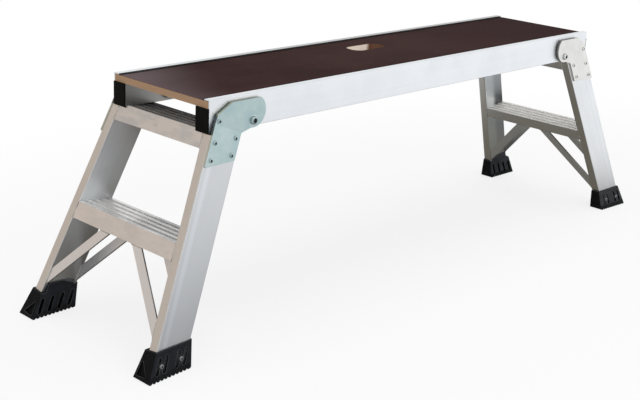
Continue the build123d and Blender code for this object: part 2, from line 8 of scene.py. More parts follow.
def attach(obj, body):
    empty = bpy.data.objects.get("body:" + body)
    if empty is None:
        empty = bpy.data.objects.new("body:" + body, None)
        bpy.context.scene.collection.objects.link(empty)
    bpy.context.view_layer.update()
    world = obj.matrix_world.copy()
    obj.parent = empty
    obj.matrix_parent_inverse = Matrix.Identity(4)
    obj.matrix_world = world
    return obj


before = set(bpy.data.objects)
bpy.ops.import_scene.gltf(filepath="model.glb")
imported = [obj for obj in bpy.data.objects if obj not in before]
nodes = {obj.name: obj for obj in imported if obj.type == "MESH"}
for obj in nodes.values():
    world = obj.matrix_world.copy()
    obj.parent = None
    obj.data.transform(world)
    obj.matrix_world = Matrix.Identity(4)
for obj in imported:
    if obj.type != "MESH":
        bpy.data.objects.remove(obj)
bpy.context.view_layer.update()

# Sizes of the trestle that the fine pieces and finishes need, in metres
deck_top = 0.5112
deck_half_length = 0.675
deck_half_width = 0.15
board_thickness = 0.015
lip_edge = 0.135
rail_inside = 0.112
slot_middle = 0.05
slot_half_length = 0.055
slot_half_width = 0.025
rail_bottom = 0.4462
lean = radians(23.5)
splay = radians(6.7)
leg_width = 0.080
leg_thickness = 0.023
hinge_gap = 0.003
plate_thickness = 0.005
bend_rise = 0.024
pivot = Vector((0.565, 0, 0.4597))
pivot_head_top = 0.1637
pivot_drive_radius = 0.0044
pivot_drive_depth = 0.003
stud_from_end = 0.019593
stud_rise = 0.025
stud_head_top = 0.1604
stud_drive_radius = 0.0016
stud_drive_depth = 0.0012
rivet_edges = (0.012, 0.063)
rivet_rows = (0.016, 0.048)
rivet_hollow_floor = 0.0008
rivet_hollow_radius = 0.002
foot_bolt_edges = (0.0165, 0.0635)
foot_bolt_height = 0.026
foot_bolt_head_top = 0.0068
foot_bolt_drive_radius = 0.002
foot_bolt_drive_depth = 0.0018
collar_sunk = 0.0003
stud_collar_sunk = 0.0002
tread_tilt = radians(6)
tread_wall = 0.0025
lower_tread_front = -0.21831
top_tread_front = 0.005 / cos(lean)
top_tread_notch = -0.0012
tread_rise = leg_width * tan(lean - tread_tilt)
front_skirt = 0.0365
rear_skirt = 0.030
brace_angle = radians(47)
brace_width = 0.022
brace_thickness = 0.004
outer_brace_start = 0.052
inner_brace_start = 0.038
bead_radius = 0.0021
bead_pitch = 0.0024

# Directions along the deck, across it and up
along_deck = Vector((1, 0, 0))
across = Vector((0, 1, 0))
upward = Vector((0, 0, 1))

# Left front leg: down it, across it towards the middle, and into its thickness
frame_down = Vector((-sin(lean), 0, -cos(lean)))
inward = Vector((cos(lean), 0, -sin(lean)))
leg_down = frame_down * cos(splay) - across * sin(splay)
leg_inside = across * cos(splay) + frame_down * sin(splay)
leg_corner = Vector((
    -deck_half_length,
    -deck_half_width - hinge_gap - bend_rise * sin(splay),
    rail_bottom,
))


class Socket:
    """A node's output. An expression on it adds Math nodes to the same tree."""

    def __init__(self, tree, output):
        self.tree = tree
        self.output = output

    def node(self, kind, settings, inputs, output=0):
        """Adds a node of any kind: its settings first, then the values or links of its sockets."""
        made = self.tree.nodes.new(kind)
        for name, value in settings.items():
            setattr(made, name, value)
        for name, value in inputs.items():
            if isinstance(value, Socket):
                self.tree.links.new(value.output, made.inputs[name])
            else:
                made.inputs[name].default_value = value
        return Socket(self.tree, made.outputs[output])

    def maths(self, operation, *values):
        """Adds a Math node."""
        return self.node("ShaderNodeMath", {"operation": operation}, dict(enumerate(values)))

    def vectors(self, operation, *values, output="Vector"):
        """Adds a Vector Math node."""
        settings = {"operation": operation}
        return self.node("ShaderNodeVectorMath", settings, dict(enumerate(values)), output)

    def __add__(self, other):
        return self.maths("ADD", self, other)

    def __radd__(self, other):
        return self.maths("ADD", other, self)

    def __sub__(self, other):
        return self.maths("SUBTRACT", self, other)

    def __rsub__(self, other):
        return self.maths("SUBTRACT", other, self)

    def __mul__(self, other):
        return self.maths("MULTIPLY", self, other)

    def __rmul__(self, other):
        return self.maths("MULTIPLY", other, self)

    def __abs__(self):
        return self.maths("ABSOLUTE", self)


# Parts of a finish


def new_finish(name):
    """An empty material: the material, its shader, and where a point is on the piece."""
    material = bpy.data.materials.new(name)
    material.use_nodes = True
    tree = material.node_tree
    shader = tree.nodes["Principled BSDF"]
    place = Socket(tree, tree.nodes.new("ShaderNodeTexCoord").outputs["Object"])
    return material, shader, place


def dress(shader, **looks):
    """Sets the shader's sockets, by name with underscores for spaces, to values or links."""
    for name, value in looks.items():
        socket = shader.inputs[name.replace("_", " ")]
        if isinstance(value, Socket):
            value.tree.links.new(value.output, socket)
        else:
            socket.default_value = value


def axis_of(place, axis):
    """One coordinate of a place or a direction."""
    return place.node("ShaderNodeSeparateXYZ", {}, {"Vector": place}, axis)


def along_of(place, direction):
    """How far a place lies along a direction."""
    return place.vectors("DOT_PRODUCT", place, tuple(direction), output="Value")


def length_of(place):
    """How far a place lies from the middle of its coordinates."""
    return place.vectors("LENGTH", place, output="Value")


def sign_of(value):
    """1 for a value above zero, and -1 for one below it."""
    return value.maths("SIGN", value)


def larger(one, other):
    """The larger of two values."""
    return one.maths("MAXIMUM", one, other)


def facing(place):
    """Direction that the surface faces, in the piece's own frame."""
    return place.node("ShaderNodeTexCoord", {}, {}, "Normal")


def drawn_along(place, direction, keep):
    """Places squeezed along a direction, so that a pattern on them runs out into streaks."""
    run = along_of(place, direction)
    shift = place.node(
        "ShaderNodeVectorMath",
        {"operation": "SCALE"},
        {0: tuple(direction), "Scale": run * (1 - keep)},
    )
    return place.vectors("SUBTRACT", place, shift)


def noise(place, scale, detail=2.0, roughness=0.5, seed=0.0):
    """Cloudy pattern from 0 to 1, another one for each seed."""
    return place.node(
        "ShaderNodeTexNoise",
        {"noise_dimensions": "4D"},
        {"Vector": place, "W": seed, "Scale": scale, "Detail": detail, "Roughness": roughness},
    )


def cells(place, scale):
    """Distance from the middle of the nearest cell, for a moulded or woven grain."""
    return place.node("ShaderNodeTexVoronoi", {"feature": "F1"}, {"Vector": place, "Scale": scale})


def ramp(value, low, high):
    """0 below low, 1 above high, and smooth between."""
    return value.node(
        "ShaderNodeMapRange",
        {"interpolation_type": "SMOOTHSTEP"},
        {"Value": value, "From Min": low, "From Max": high},
    )


def tint(share, first, second):
    """Colour that goes from first to second as a share goes from 0 to 1."""
    first_socket = 6
    second_socket = 7
    mixed_socket = 2
    colours = {0: share}
    for index, colour in ((first_socket, first), (second_socket, second)):
        colours[index] = colour if isinstance(colour, Socket) else (*colour, 1)
    return share.node("ShaderNodeMix", {"data_type": "RGBA"}, colours, mixed_socket)


def bump(height, depth):
    """Normal for a height from 0 to 1, which stands for a depth in metres."""
    return height.node("ShaderNodeBump", {}, {"Strength": 1.0, "Distance": depth, "Height": height})


def crevice(place, reach):
    """1 in the open and less in grooves and corners of the same piece."""
    settings = {"samples": 8, "only_local": True}
    return place.node("ShaderNodeAmbientOcclusion", settings, {"Distance": reach}, "AO")


def sharp_edge(place, reach):
    """0 on flat faces, and up to 1 along the piece's outer edges."""
    settings = {"samples": 8, "only_local": True, "inside": True}
    filled = place.node("ShaderNodeAmbientOcclusion", settings, {"Distance": reach}, "AO")
    return ramp(1 - filled, 0.10, 0.45)


def corner_mirror(place):
    """The same place on the matching piece at the right rear corner, where X and Y are positive."""
    return place.vectors("ABSOLUTE", place)


def corner_seed(place):
    """A different number at each corner, so that matching pieces aren't marked alike."""
    end_step = 2.3
    return sign_of(axis_of(place, 0)) * end_step + sign_of(axis_of(place, 1))


def right_end(place):
    """0 at the trestle's left end and 1 at its right end."""
    half_change = 0.3
    return ramp(axis_of(place, 0), -half_change, half_change)


def outward(place):
    """How much a face looks away from the deck's long middle line: 1 away from it, -1 towards it."""
    return axis_of(facing(place), 1) * sign_of(axis_of(place, 1))


def across_leg(folded):
    """How far a place lies across a leg frame from its outer edge, by its corner mirror."""
    into_frame = Vector((-inward.x, 0, inward.z))
    outer_edge = Vector((deck_half_length, 0, rail_bottom)).dot(into_frame)
    return along_of(folded, into_frame) - outer_edge


# Finishes


def extrusion_marks(place, direction):
    """Die lines, broad bands, cloudy patches, scuffs and grime of an aluminium extrusion."""
    seed = corner_seed(place)
    folded = corner_mirror(place)
    run = drawn_along(folded, direction, keep=0.012)
    lines = noise(run, scale=1100, detail=3, roughness=0.6, seed=seed)
    bands = noise(run, scale=95, seed=seed)
    clouds = noise(place, scale=7, detail=4, roughness=0.6, seed=seed)
    slant = drawn_along(folded, Vector((0.5, 0.62, 0.6)).normalized(), keep=0.02)
    scratches = noise(slant, scale=620, seed=seed)
    scuffs = ramp(scratches, 0.66, 0.74) * ramp(clouds, 0.48, 0.62)
    blotches = noise(place, scale=60, detail=3, roughness=0.6, seed=seed)
    dirt = (1 - crevice(place, reach=0.012)) * ramp(blotches, 0.3, 0.7)
    return lines, bands, clouds, scuffs, dirt


def aluminium(name, direction, dull, bright, markings=None):
    """Extruded aluminium in its mill finish. Markings change its colour where a piece has its own."""
    rubbed_edge = (0.90, 0.90, 0.895)
    fresh_scuff = (0.92, 0.92, 0.92)
    dry_dirt = (0.16, 0.145, 0.125)
    material, shader, place = new_finish(name)
    lines, bands, clouds, scuffs, dirt = extrusion_marks(place, direction)
    metal = tint(ramp(bands * 0.25 + clouds * 0.75, 0.35, 0.65), dull, bright)
    marked = markings(place, metal) if markings else metal
    handled = tint(sharp_edge(place, reach=0.0012) * (0.25 + clouds * 0.4), marked, rubbed_edge)
    scuffed = tint(scuffs * 0.4, handled, fresh_scuff)
    dress(
        shader,
        Base_Color=tint(dirt * 0.25, scuffed, dry_dirt),
        Metallic=1.0,
        Roughness=0.29 + lines * 0.08 + clouds * 0.12 - scuffs * 0.08 + dirt * 0.2,
        Normal=bump(lines * 0.85 + bands * 0.15, depth=0.00003),
    )
    return material


def rail_marks(place, metal):
    """Painted shade on the inner faces below the deck and, in patches, on the rear lip, and a painted
    shadow line where the lips meet the board.
    """
    dull_and_shaded_metal = (0.29, 0.28, 0.265)
    painted_lighting_metal = (0.34, 0.335, 0.33)
    lip_shadow = (0.016, 0.013, 0.012)
    lip_start = (deck_top - 0.0004, deck_top)
    inner_skin = (rail_inside + 0.0005, rail_inside + 0.002)
    edge_skin = (lip_edge + 0.0001, lip_edge + 0.0005)
    from_middle = abs(axis_of(place, 1))
    patches = noise(drawn_along(place, along_deck, keep=0.3), scale=14, detail=3, roughness=0.6)
    lip = ramp(axis_of(place, 2), *lip_start)
    # Painted shade on the rail's inner faces below the deck
    sheltered = 1 - ramp(from_middle, *inner_skin)
    # Painted shade on the rear lip, in patches
    rear = ramp(axis_of(place, 1), 0, 0.05) * ramp(axis_of(place, 0) + patches * 0.5, -0.5, 0.1)
    dulled_and_shaded = tint(sheltered * 0.85, metal, dull_and_shaded_metal)
    worn_and_painted_light = tint(lip * rear * (0.4 + patches * 0.5), dulled_and_shaded, painted_lighting_metal)
    # Painted shadow on the lips' inner edges, where they meet the board
    inner_edge = 1 - ramp(from_middle, *edge_skin)
    return tint(inner_edge * lip * 0.95, worn_and_painted_light, lip_shadow)


def inner_face_marks(place, width, metal):
    """Legs' inner faces: grime and painted shade near the deck and below the tread, a painted reflection
    just above the tread at the left end, and a painted highlight and painted shade at the right end.
    """
    brown_grime_and_shade = (0.15, 0.125, 0.10)
    painted_lighting_metal = (0.93, 0.97, 1.0)
    painted_highlight_metal = (0.95, 0.99, 1.0)
    painted_shade_black = (0.10, 0.11, 0.115)
    tread_underside = (0.205, 0.225)
    patch_top = (0.25, 0.305)
    near_deck_height = (0.28, 0.44)
    reflection_width = (0.02, 0.06)
    highlight_width = (0.030, 0.050)
    inner = ramp(0 - outward(place), 0.5, 0.9)
    left = inner * (1 - right_end(place))
    right = inner * right_end(place)
    height = axis_of(place, 2)
    above_tread = ramp(height, *tread_underside)
    near_tread = above_tread * (1 - ramp(height, *patch_top))
    near_deck = ramp(height, *near_deck_height)
    # Grime and painted shade at the left end: darker towards the inner edge, near the deck and below the
    # tread
    grime = ramp(width, 0, leg_width) * 0.35 + near_deck * 0.55 + (1 - above_tread) * 0.32
    grimy_and_shaded = tint(left * grime, metal, brown_grime_and_shade)
    # Painted reflection just above the tread at the left end
    worn_and_painted_light = tint(left * near_tread * (1 - ramp(width, *reflection_width)), grimy_and_shaded, painted_lighting_metal)
    # Painted highlight towards the inner edge and painted shade towards the outer edge at the right end
    middle_edge = ramp(width, *highlight_width)
    highlighted_right = tint(right * middle_edge * 0.9, worn_and_painted_light, painted_highlight_metal)
    return tint(right * (1 - middle_edge) * (0.10 + near_tread * 0.80), highlighted_right, painted_shade_black)


def leg_marks(place, metal):
    """Legs: painted shade on the outer faces at the left end, a painted highlight along them, marked
    inner faces, and a painted warm reflection on the narrow faces.
    """
    left_shade_metal = (0.62, 0.635, 0.66)
    strip_highlight = (0.84, 0.87, 0.92)
    warm_reflection_metal = (0.70, 0.675, 0.62)
    strip_start = (0.009, 0.013)
    strip_stop = (0.019, 0.024)
    width = across_leg(corner_mirror(place))
    strip = ramp(width, *strip_start) * (1 - ramp(width, *strip_stop))
    outer = ramp(outward(place), 0.5, 0.9)
    # Painted shade on the outer faces at the left end
    left_shaded = tint(outer * (1 - right_end(place)) * 0.65, metal, left_shade_metal)
    # Painted highlight in a band along the outer faces
    striped = tint(strip * outer * 0.45, left_shaded, strip_highlight)
    marked = inner_face_marks(place, width, striped)
    # Painted warm reflection on the narrow faces
    narrow = 1 - ramp(abs(axis_of(facing(place), 1)), 0.3, 0.6)
    return tint(narrow * 0.6, marked, warm_reflection_metal)


def brace_marks(place, metal):
    """Painted shade on the flat bars' narrow edges."""
    brace_edge_shade = (0.12, 0.11, 0.10)
    normal = facing(place)
    level = axis_of(normal, 0) * sign_of(axis_of(place, 0)) * cos(lean)
    flat_face = ramp(abs(level + axis_of(normal, 2) * sin(lean)), 0.3, 0.7)
    # Painted shade on the narrow edges
    return tint((1 - flat_face) * 0.8, metal, brace_edge_shade)


def tread_metal(place):
    """Tread extrusion: its die lines, hollows, worn ridges, and colour with dust in the grooves."""
    dull_and_shaded_metal = (0.76, 0.768, 0.775)
    bright_metal = (0.87, 0.876, 0.882)
    ridge_top = (0.92, 0.925, 0.93)
    groove_dust = (0.20, 0.19, 0.175)
    seed = corner_seed(place)
    run = drawn_along(place, across, keep=0.012)
    lines = noise(run, scale=900, detail=3, roughness=0.6, seed=seed)
    clouds = noise(place, scale=11, detail=4, roughness=0.6, seed=seed)
    open_air = crevice(place, reach=0.010)
    hollow = ramp(1 - open_air, 0.05, 0.35)
    short_run = drawn_along(place, across, keep=0.3)
    wear = ramp(noise(short_run, scale=45, detail=3, roughness=0.6, seed=seed), 0.38, 0.6)
    worn_and_painted_light = wear * ramp(open_air, 0.75, 0.98)
    metal = tint(ramp(lines * 0.3 + clouds * 0.7, 0.3, 0.7), dull_and_shaded_metal, bright_metal)
    worn = tint(worn_and_painted_light * 0.6, metal, ridge_top)
    return lines, hollow, worn_and_painted_light, tint(hollow * 0.16, worn, groove_dust)


def tread_aluminium(name, soil_and_shade, trodden):
    """Treads: pale powder at the rear and the right, paler at the right end as painted light, and soiled
    on top, more where they are trodden; the top treads are soiled all over as painted shade below the
    deck.
    """
    left_powder = (0.78, 0.77, 0.745)
    right_lit_powder = (0.97, 0.955, 0.925)
    black_soil_and_shade = (0.022, 0.019, 0.017)
    inner_width = (0.0, 0.06)
    material, shader, place = new_finish(name)
    lines, hollow, worn_and_painted_light, dusty = tread_metal(place)
    on_top = ramp(axis_of(facing(place), 2), 0.3, 0.6)
    rear_half = ramp(axis_of(place, 1), -0.03, 0.03)
    settled = hollow * larger(rear_half, right_end(place))
    powder = larger(settled, on_top * right_end(place) * 0.85) * (0.9 * (1 - soil_and_shade))
    # Powder paler at the right end, partly painted light
    powdered = tint(powder, dusty, tint(right_end(place), left_powder, right_lit_powder))
    front_left = (1 - rear_half) * (1 - right_end(place))
    inner_side = ramp(across_leg(corner_mirror(place)), *inner_width)
    cover = 0.76 + inner_side * 0.22 + hollow * 0.4 - worn_and_painted_light * (0.40 - inner_side * 0.34)
    # Soiled on top; on the top treads this is painted shade below the deck
    soiled_and_shaded = on_top * cover * (soil_and_shade + front_left * trodden)
    dress(
        shader,
        Base_Color=tint(soiled_and_shaded, powdered, black_soil_and_shade),
        Metallic=(1 - soiled_and_shaded * 0.9) * (1 - powder),
        Roughness=0.31 + lines * 0.08 + hollow * 0.25 - worn_and_painted_light * 0.08 + soiled_and_shaded * 0.25,
        Specular_IOR_Level=0.02,
        Normal=bump(lines, depth=0.00003),
    )
    return material


def plating_film(place, clouds):
    """Zinc plating's passive film: bluish at the left end, and clear at the right end, with painted light
    making it pale there.
    """
    cloudy = ramp(clouds, 0.32, 0.68)
    blue_film = tint(cloudy, (0.43, 0.565, 0.588), (0.535, 0.65, 0.655))
    clear_lit_film = tint(cloudy, (0.75, 0.755, 0.74), (0.83, 0.835, 0.82))
    # Paler at the right end as painted light
    return tint(right_end(place), blue_film, clear_lit_film)


def plate_edge_colour(place):
    """Cut edges of the hinge plates: pale by the leg, painted shadow beside the rail, olive on the left
    chamfer.
    """
    left_pale = (0.60, 0.61, 0.52)
    left_edge_shadow = (0.05, 0.05, 0.045)
    left_olive = (0.36, 0.36, 0.22)
    right_pale = (0.62, 0.60, 0.55)
    right_edge_shadow = (0.13, 0.125, 0.105)
    rail_underside = (rail_bottom - 0.002, rail_bottom + 0.002)
    chamfer_start = (0.479, 0.484)
    height = axis_of(place, 2)
    # Painted shadow on the cut edges beside the rail
    beside_rail = ramp(height, *rail_underside)
    along_leg = tint(beside_rail, left_pale, left_edge_shadow)
    left_edge = tint(ramp(height, *chamfer_start), along_leg, left_olive)
    right_edge = tint(beside_rail, right_pale, right_edge_shadow)
    return tint(right_end(place), left_edge, right_edge)


def zinc_plate():
    """Zinc plated hinge plate: satin faces, cut edges, and a ring worn round the pivot."""
    bare_zinc = (0.74, 0.76, 0.77)
    grey_dirt = (0.13, 0.13, 0.125)
    ring_inside = (0.0086, 0.0094)
    ring_outside = (0.0110, 0.0125)
    material, shader, place = new_finish("zinc_plated_plate")
    seed = corner_seed(place)
    folded = corner_mirror(place)
    clouds = noise(place, scale=28, detail=4, roughness=0.6, seed=seed)
    grain = noise(place, scale=1400, roughness=0.6, seed=seed)
    brushed = noise(drawn_along(folded, along_deck, keep=0.03), scale=700, seed=seed)
    cut_edge = 1 - ramp(abs(axis_of(facing(place), 1)), 0.6, 0.85)
    from_pivot = place.vectors("SUBTRACT", folded, tuple(pivot))
    reach = length_of(place.vectors("MULTIPLY", from_pivot, (1, 0, 1)))
    ring = ramp(reach, *ring_inside) * (1 - ramp(reach, *ring_outside))
    edged = tint(cut_edge * 0.8, plating_film(place, clouds), plate_edge_colour(place))
    worn_and_painted_light = tint(ring * ramp(brushed, 0.3, 0.6) * 0.6, edged, bare_zinc)
    dirt = (1 - crevice(place, reach=0.006)) * 0.4
    dress(
        shader,
        Base_Color=tint(dirt, worn_and_painted_light, grey_dirt),
        Metallic=1.0,
        Roughness=0.34 + clouds * 0.10 + brushed * 0.08 - ring * 0.06,
        Normal=bump(grain * 0.4 + brushed * 0.6, depth=0.00003),
    )
    return material


def nearest_of_two(value, pair):
    """How far a value is from the nearer of two values."""
    middle = value - sum(pair) / 2
    return middle - sign_of(middle) * (abs(pair[0] - pair[1]) / 2)


def centre_grime_and_shade(place):
    """Oily dirt and painted shade in the middle of the rivets', stop studs' and pivot bolts' heads, less
    at the right.
    """
    small_centre = (0.0026 ** 2, 0.0034 ** 2)
    pivot_centre = (0.0046 ** 2, 0.0064 ** 2)
    folded = corner_mirror(place)
    height = axis_of(folded, 2)
    off_width = nearest_of_two(across_leg(folded), rivet_edges)
    off_height = nearest_of_two(rail_bottom - height, rivet_rows)
    off_run = (off_height - off_width * sin(lean)) * (1 / (cos(lean) * cos(splay)))
    rivet_reach = off_width * off_width + off_run * off_run
    off_end = deck_half_length - stud_from_end - axis_of(folded, 0)
    off_rise = height - rail_bottom - stud_rise
    stud_reach = off_end * off_end + off_rise * off_rise
    small_reach = rivet_reach.maths("MINIMUM", rivet_reach, stud_reach)
    off_pivot = axis_of(folded, 0) - pivot.x
    off_level = height - pivot.z
    pivot_reach = off_pivot * off_pivot + off_level * off_level
    # Grime and painted shade in the middle of the heads
    grime = larger(1 - ramp(small_reach, *small_centre), 1 - ramp(pivot_reach, *pivot_centre))
    return grime * (1 - right_end(place) * 0.5)


def zinc_fastener(name, film_of, grime_and_shade_of=None):
    """Zinc plated steel: satin, with painted shade in the recesses and, on some, grime and painted shade
    on the heads.
    """
    oily_grime_and_shade = (0.030, 0.040, 0.038)
    recess_shade = (0.030, 0.033, 0.036)
    material, shader, place = new_finish(name)
    clouds = noise(place, scale=90, detail=3, roughness=0.6)
    grain = noise(place, scale=1800, roughness=0.6)
    # Painted shade in the fastener's own recesses
    recess = ramp(1 - crevice(place, reach=0.005), 0.25, 0.70)
    film = film_of(place, clouds)
    if grime_and_shade_of:
        film = tint(grime_and_shade_of(place) * (0.55 + clouds * 0.5), film, oily_grime_and_shade)
    dress(
        shader,
        Base_Color=tint(recess * 0.94, film, recess_shade),
        Metallic=1.0,
        Roughness=0.40 + clouds * 0.12 + recess * 0.3,
        Normal=bump(grain, depth=0.00002),
    )
    return material


def worn_zinc(place, clouds):
    """Plating gone dull and grey, as on the fasteners that sit low or out of sight."""
    return tint(ramp(clouds, 0.3, 0.7), (0.24, 0.25, 0.26), (0.36, 0.37, 0.375))


def film_colour(place):
    """Deck film: mottled dark brown, worn grey at the left end, scratched, and a painted shadow along the
    lips.
    """
    dark_film = (0.030, 0.0138, 0.0134)
    light_film = (0.045, 0.0222, 0.0208)
    trodden_film = (0.064, 0.039, 0.036)
    worn_film = (0.148, 0.110, 0.116)
    clean_film = (0.028, 0.0125, 0.013)
    pale_scratch = (0.17, 0.13, 0.118)
    lip_shadow = (0.008, 0.0065, 0.006)
    lip_shadow_band = (lip_edge - 0.010, lip_edge - 0.004)
    mottle = noise(place, scale=9, detail=5, roughness=0.6)
    speckle = noise(place, scale=240, detail=3, roughness=0.6)
    run = drawn_along(place, along_deck, keep=0.35)
    traffic = noise(run, scale=5.5, detail=4, roughness=0.6, seed=3.0)
    slant = drawn_along(place, Vector((0.94, 0.34, 0)).normalized(), keep=0.012)
    counter = drawn_along(place, Vector((0.80, -0.60, 0)).normalized(), keep=0.012)
    slant_lines = ramp(noise(slant, scale=380), 0.70, 0.76)
    counter_lines = ramp(noise(counter, scale=430), 0.71, 0.77)
    scratched = (slant_lines + counter_lines) * ramp(traffic, 0.45, 0.62)
    worn_end = ramp(traffic * 0.1 - axis_of(place, 0) + axis_of(place, 1) * 0.5, 0.56, 0.80)
    clean_end = ramp(axis_of(place, 0) + traffic * 0.2, 0.2, 0.7)
    film = tint(ramp(mottle * 0.7 + speckle * 0.3, 0.35, 0.65), dark_film, light_film)
    trodden = tint(ramp(traffic, 0.42, 0.72) * 0.35, film, trodden_film)
    dulled_and_shaded = tint(worn_end, trodden, worn_film)
    cleaner = tint(clean_end * 0.6, dulled_and_shaded, clean_film)
    marked = tint(scratched * 0.28, cleaner, pale_scratch)
    # Painted shadow of the lips on the board along its long edges
    lined = tint(ramp(abs(axis_of(place, 1)), *lip_shadow_band) * 0.85, marked, lip_shadow)
    return lined, mottle, speckle, scratched


def slot_colour(place, plies, grain, wander):
    """Hand slot's edge: routed after the board was faced, pale as fresh wood and painted light, with a
    painted shadow at its right end.
    """
    pale_wood = (0.96, 0.84, 0.74)
    shadow_start = (0.125, 0.048, 0.018)
    shadow_end = (0.165, 0.085, 0.056)
    margin = 0.004
    shadow_reach = (slot_half_length - 0.023, slot_half_length - 0.008)
    shadow_fade_reach = (0.035, slot_half_length)
    along_slot = axis_of(place, 0)
    off_middle = abs(axis_of(place, 1) - slot_middle)
    in_length = 1 - ramp(abs(along_slot), slot_half_length, slot_half_length + margin)
    in_width = 1 - ramp(off_middle, slot_half_width, slot_half_width + margin)
    slot = in_length * in_width
    # Pale fresh wood, painted lighter as a lit wall
    pale = tint(slot * (0.70 + grain * 0.25), plies, pale_wood)
    # Painted shadow at the slot's right end
    painted_shadow = slot * ramp(along_slot + wander * 25, *shadow_reach)
    shadow_colour = tint(ramp(along_slot, *shadow_fade_reach), shadow_start, shadow_end)
    return tint(painted_shadow, pale, shadow_colour)


def ply_edge_colour(place):
    """Bare board edges: eleven plies by turns along and across the grain, and the hand slot's edge."""
    glue_brown = (0.16, 0.075, 0.035)
    film_brown = (0.05, 0.03, 0.03)
    film_depth = (board_thickness - 0.0007, board_thickness - 0.0004)
    ply_count = 11
    ply = axis_of(place, 2) - (deck_top - board_thickness)
    wander = noise(drawn_along(place, upward, keep=0.1), scale=35, detail=3) * 0.0004
    stack = (ply + wander) * (ply_count / board_thickness)
    sheets = stack.maths("PINGPONG", stack, 1.0)
    grain = noise(drawn_along(place, along_deck, keep=0.06), scale=900, detail=3, roughness=0.6)
    end_grain = noise(drawn_along(place, across, keep=0.25), scale=1300, detail=3, roughness=0.6)
    light_ply = tint(grain, (0.50, 0.315, 0.195), (0.64, 0.43, 0.285))
    dark_ply = tint(end_grain, (0.32, 0.185, 0.105), (0.46, 0.29, 0.175))
    plies = tint(ramp(sheets, 0.25, 0.6), dark_ply, light_ply)
    glue = (1 - ramp(abs(sheets - 0.42), 0.03, 0.10)) * 0.35
    glued = tint(glue, plies, glue_brown)
    routed = slot_colour(place, glued, grain, wander)
    return tint(ramp(ply, *film_depth), routed, film_brown), sheets


def film_faced_plywood():
    """Deck board: a dark brown resin film on its faces, bare plies round its edges and its slot."""
    material, shader, place = new_finish("film_faced_plywood")
    edge = 1 - ramp(abs(axis_of(facing(place), 2)), 0.5, 0.8)
    film, mottle, speckle, scratched = film_colour(place)
    plies, sheets = ply_edge_colour(place)
    mesh = cells(place, scale=520)
    dress(
        shader,
        Base_Color=tint(edge, film, plies),
        Roughness=0.52 + mottle * 0.16 + scratched * 0.12 + edge * 0.2,
        Specular_IOR_Level=0.006,
        Normal=bump(mesh * 0.25 + speckle * 0.5 + edge * sheets * 0.8, depth=0.00005),
    )
    return material


def black_plastic():
    """End caps: moulded black plastic with a fine grain and worn corners."""
    rubbed_plastic = (0.04, 0.04, 0.038)
    material, shader, place = new_finish("black_plastic")
    grain = cells(place, scale=1500)
    clouds = noise(place, scale=45, detail=4, roughness=0.6)
    slant = drawn_along(place, Vector((0, 0.5, 0.86)), keep=0.03)
    scuffs = ramp(noise(slant, scale=800), 0.68, 0.75) * ramp(clouds, 0.45, 0.6)
    shade = tint(ramp(clouds, 0.35, 0.7), (0.0034, 0.0034, 0.0026), (0.0062, 0.0062, 0.005))
    worn_and_painted_light = scuffs * 0.4 + sharp_edge(place, reach=0.001) * 0.25
    dress(
        shader,
        Base_Color=tint(worn_and_painted_light, shade, rubbed_plastic),
        Roughness=0.46 + clouds * 0.18,
        Specular_IOR_Level=0.04,
        Normal=bump(grain, depth=0.00005),
    )
    return material


def black_rubber():
    """Feet: matt rubber, blackest at the ends and the sole, dusty grey with a painted sheen on the ribbed
    faces, lighter at the right end as painted light, and painted highlights with the scuffs on the edges.
    """
    left_dust_and_sheen = (0.026, 0.028, 0.035)
    right_lit_dust_and_sheen = (0.075, 0.080, 0.090)
    scuffed_and_highlit_edge = (0.15, 0.155, 0.165)
    floor_dust = (0.06, 0.058, 0.054)
    sole_height = (0.010, 0.016)
    material, shader, place = new_finish("black_rubber")
    grain = cells(place, scale=1900)
    clouds = noise(place, scale=55, detail=4, roughness=0.6)
    sole = 1 - ramp(axis_of(place, 2), *sole_height)
    wide_face = ramp(abs(axis_of(facing(place), 1)), 0.6, 0.9)
    open_air = ramp(crevice(place, reach=0.006), 0.55, 0.95)
    dust = ramp(noise(place, scale=30, detail=4, roughness=0.65, seed=2.0), 0.35, 0.75)
    shade = tint(ramp(clouds, 0.3, 0.7), (0.0042, 0.0044, 0.0052), (0.0075, 0.008, 0.0095))
    # Dust and painted sheen on the ribbed faces, lighter at the right end as painted light
    rib_dust_and_sheen = tint(right_end(place), left_dust_and_sheen, right_lit_dust_and_sheen)
    ribs = tint(wide_face * open_air * (0.4 + dust * 0.4) * (1 - sole * 0.8), shade, rib_dust_and_sheen)
    # Scuffs and painted highlights along the edges
    scuffed = tint(sharp_edge(place, reach=0.0015) * (0.4 + dust * 0.5), ribs, scuffed_and_highlit_edge)
    dress(
        shader,
        Base_Color=tint(dust * sole * 0.10, scuffed, floor_dust),
        Roughness=0.52 + clouds * 0.15 + dust * 0.12,
        Specular_IOR_Level=0.10,
        Normal=bump(grain, depth=0.00006),
    )
    return material


def weld_metal():
    """Aluminium weld beads: rippled, pale where they were brushed and sooty elsewhere."""
    material, shader, place = new_finish("weld_metal")
    ripple = noise(place, scale=700, detail=3, roughness=0.6)
    bloom = noise(place, scale=60, detail=3)
    dress(
        shader,
        Base_Color=tint(ramp(bloom, 0.3, 0.7), (0.40, 0.385, 0.355), (0.72, 0.715, 0.70)),
        Metallic=1.0,
        Roughness=0.36 + ripple * 0.15,
        Normal=bump(ripple, depth=0.0001),
    )
    return material


def dark_steel_and_socket_shade():
    """Broken rivet stems: dark, oily steel. The hex sockets take it as painted shade."""
    material, shader, place = new_finish("dark_steel_and_socket_shade")
    grain = noise(place, scale=1500, detail=3, roughness=0.6)
    dress(
        shader,
        Base_Color=tint(grain, (0.020, 0.022, 0.025), (0.075, 0.08, 0.085)),
        Metallic=0.6,
        Roughness=0.45 + grain * 0.2,
        Normal=bump(grain, depth=0.0001),
    )
    return material


